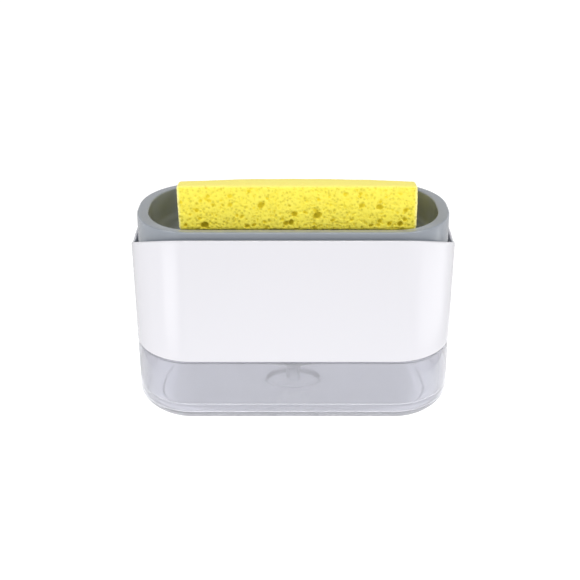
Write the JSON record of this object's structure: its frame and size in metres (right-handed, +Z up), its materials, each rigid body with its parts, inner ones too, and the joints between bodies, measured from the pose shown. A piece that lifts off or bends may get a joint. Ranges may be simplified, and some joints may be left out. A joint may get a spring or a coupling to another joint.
{
  "type": "soap pump caddy",
  "caption": "Countertop soap dispenser with a sponge tray: pressing the sprung tray pumps liquid soap up from the clear reservoir below it.",
  "frame": {"origin": "middle of the footprint, on the surface that the caddy stands on", "axes": "+X along the caddy's length to the right seen from the front, +Y from front to back, +Z up"},
  "size_m": [0.1342, 0.09, 0.094],
  "materials": {
    "clear_plastic": "clear, polished",
    "white_gloss": "glossy",
    "gray_plastic": "satin",
    "white_matte": "as moulded",
    "natural_plastic": "natural, translucent",
    "tube_plastic": "translucent",
    "soft_seal": "matte silicone",
    "dark_seal": "matte",
    "steel": "polished",
    "sponge_foam": "open-pored cellulose sponge"
  },
  "bodies": {
    "base": {"reservoir": "clear_plastic", "reservoir_seal": "soft_seal"},
    "top": {"housing": "white_gloss", "cylinder_gasket": "soft_seal", "pump_cylinder": "natural_plastic", "suction_tube": "tube_plastic", "ball_cage": "natural_plastic", "return_spring": "steel", "stem_guide": "white_matte", "stem_wiper": "soft_seal", "pump_collar": "white_matte"},
    "press": {"sponge_tray": "gray_plastic", "outlet_cap": "gray_plastic", "pump_stem": "white_matte", "piston_seal": "natural_plastic", "piston_tip": "white_matte", "stem_oring": "dark_seal"},
    "inlet_valve": {"inlet_ball": "steel"},
    "outlet_valve": {"outlet_ball": "steel"},
    "loose_sponge": {"sponge": "sponge_foam"}
  },
  "joints": [
    {"name": "lift_off", "type": "slide", "parent": "base", "child": "top", "axis": [0, 0, 1], "range_m": [0, 0.06]},
    {"name": "tray_press", "type": "slide", "parent": "top", "child": "press", "axis": [0, 0, 1], "range_m": [-0.01, 0], "stiffness_N_per_m": 500, "springref_m": 0.012, "deforming": ["return_spring"]},
    {"name": "inlet_ball_lift", "type": "slide", "parent": "top", "child": "inlet_valve", "axis": [0, 0, 1], "range_m": [0, 0.0015]},
    {"name": "outlet_ball_lift", "type": "slide", "parent": "press", "child": "outlet_valve", "axis": [0, 0, 1], "range_m": [0, 0.0015]},
    {"name": "sponge_lift", "type": "slide", "parent": "press", "child": "loose_sponge", "axis": [0, 0, 1], "range_m": [0, 0.04]}
  ]
}
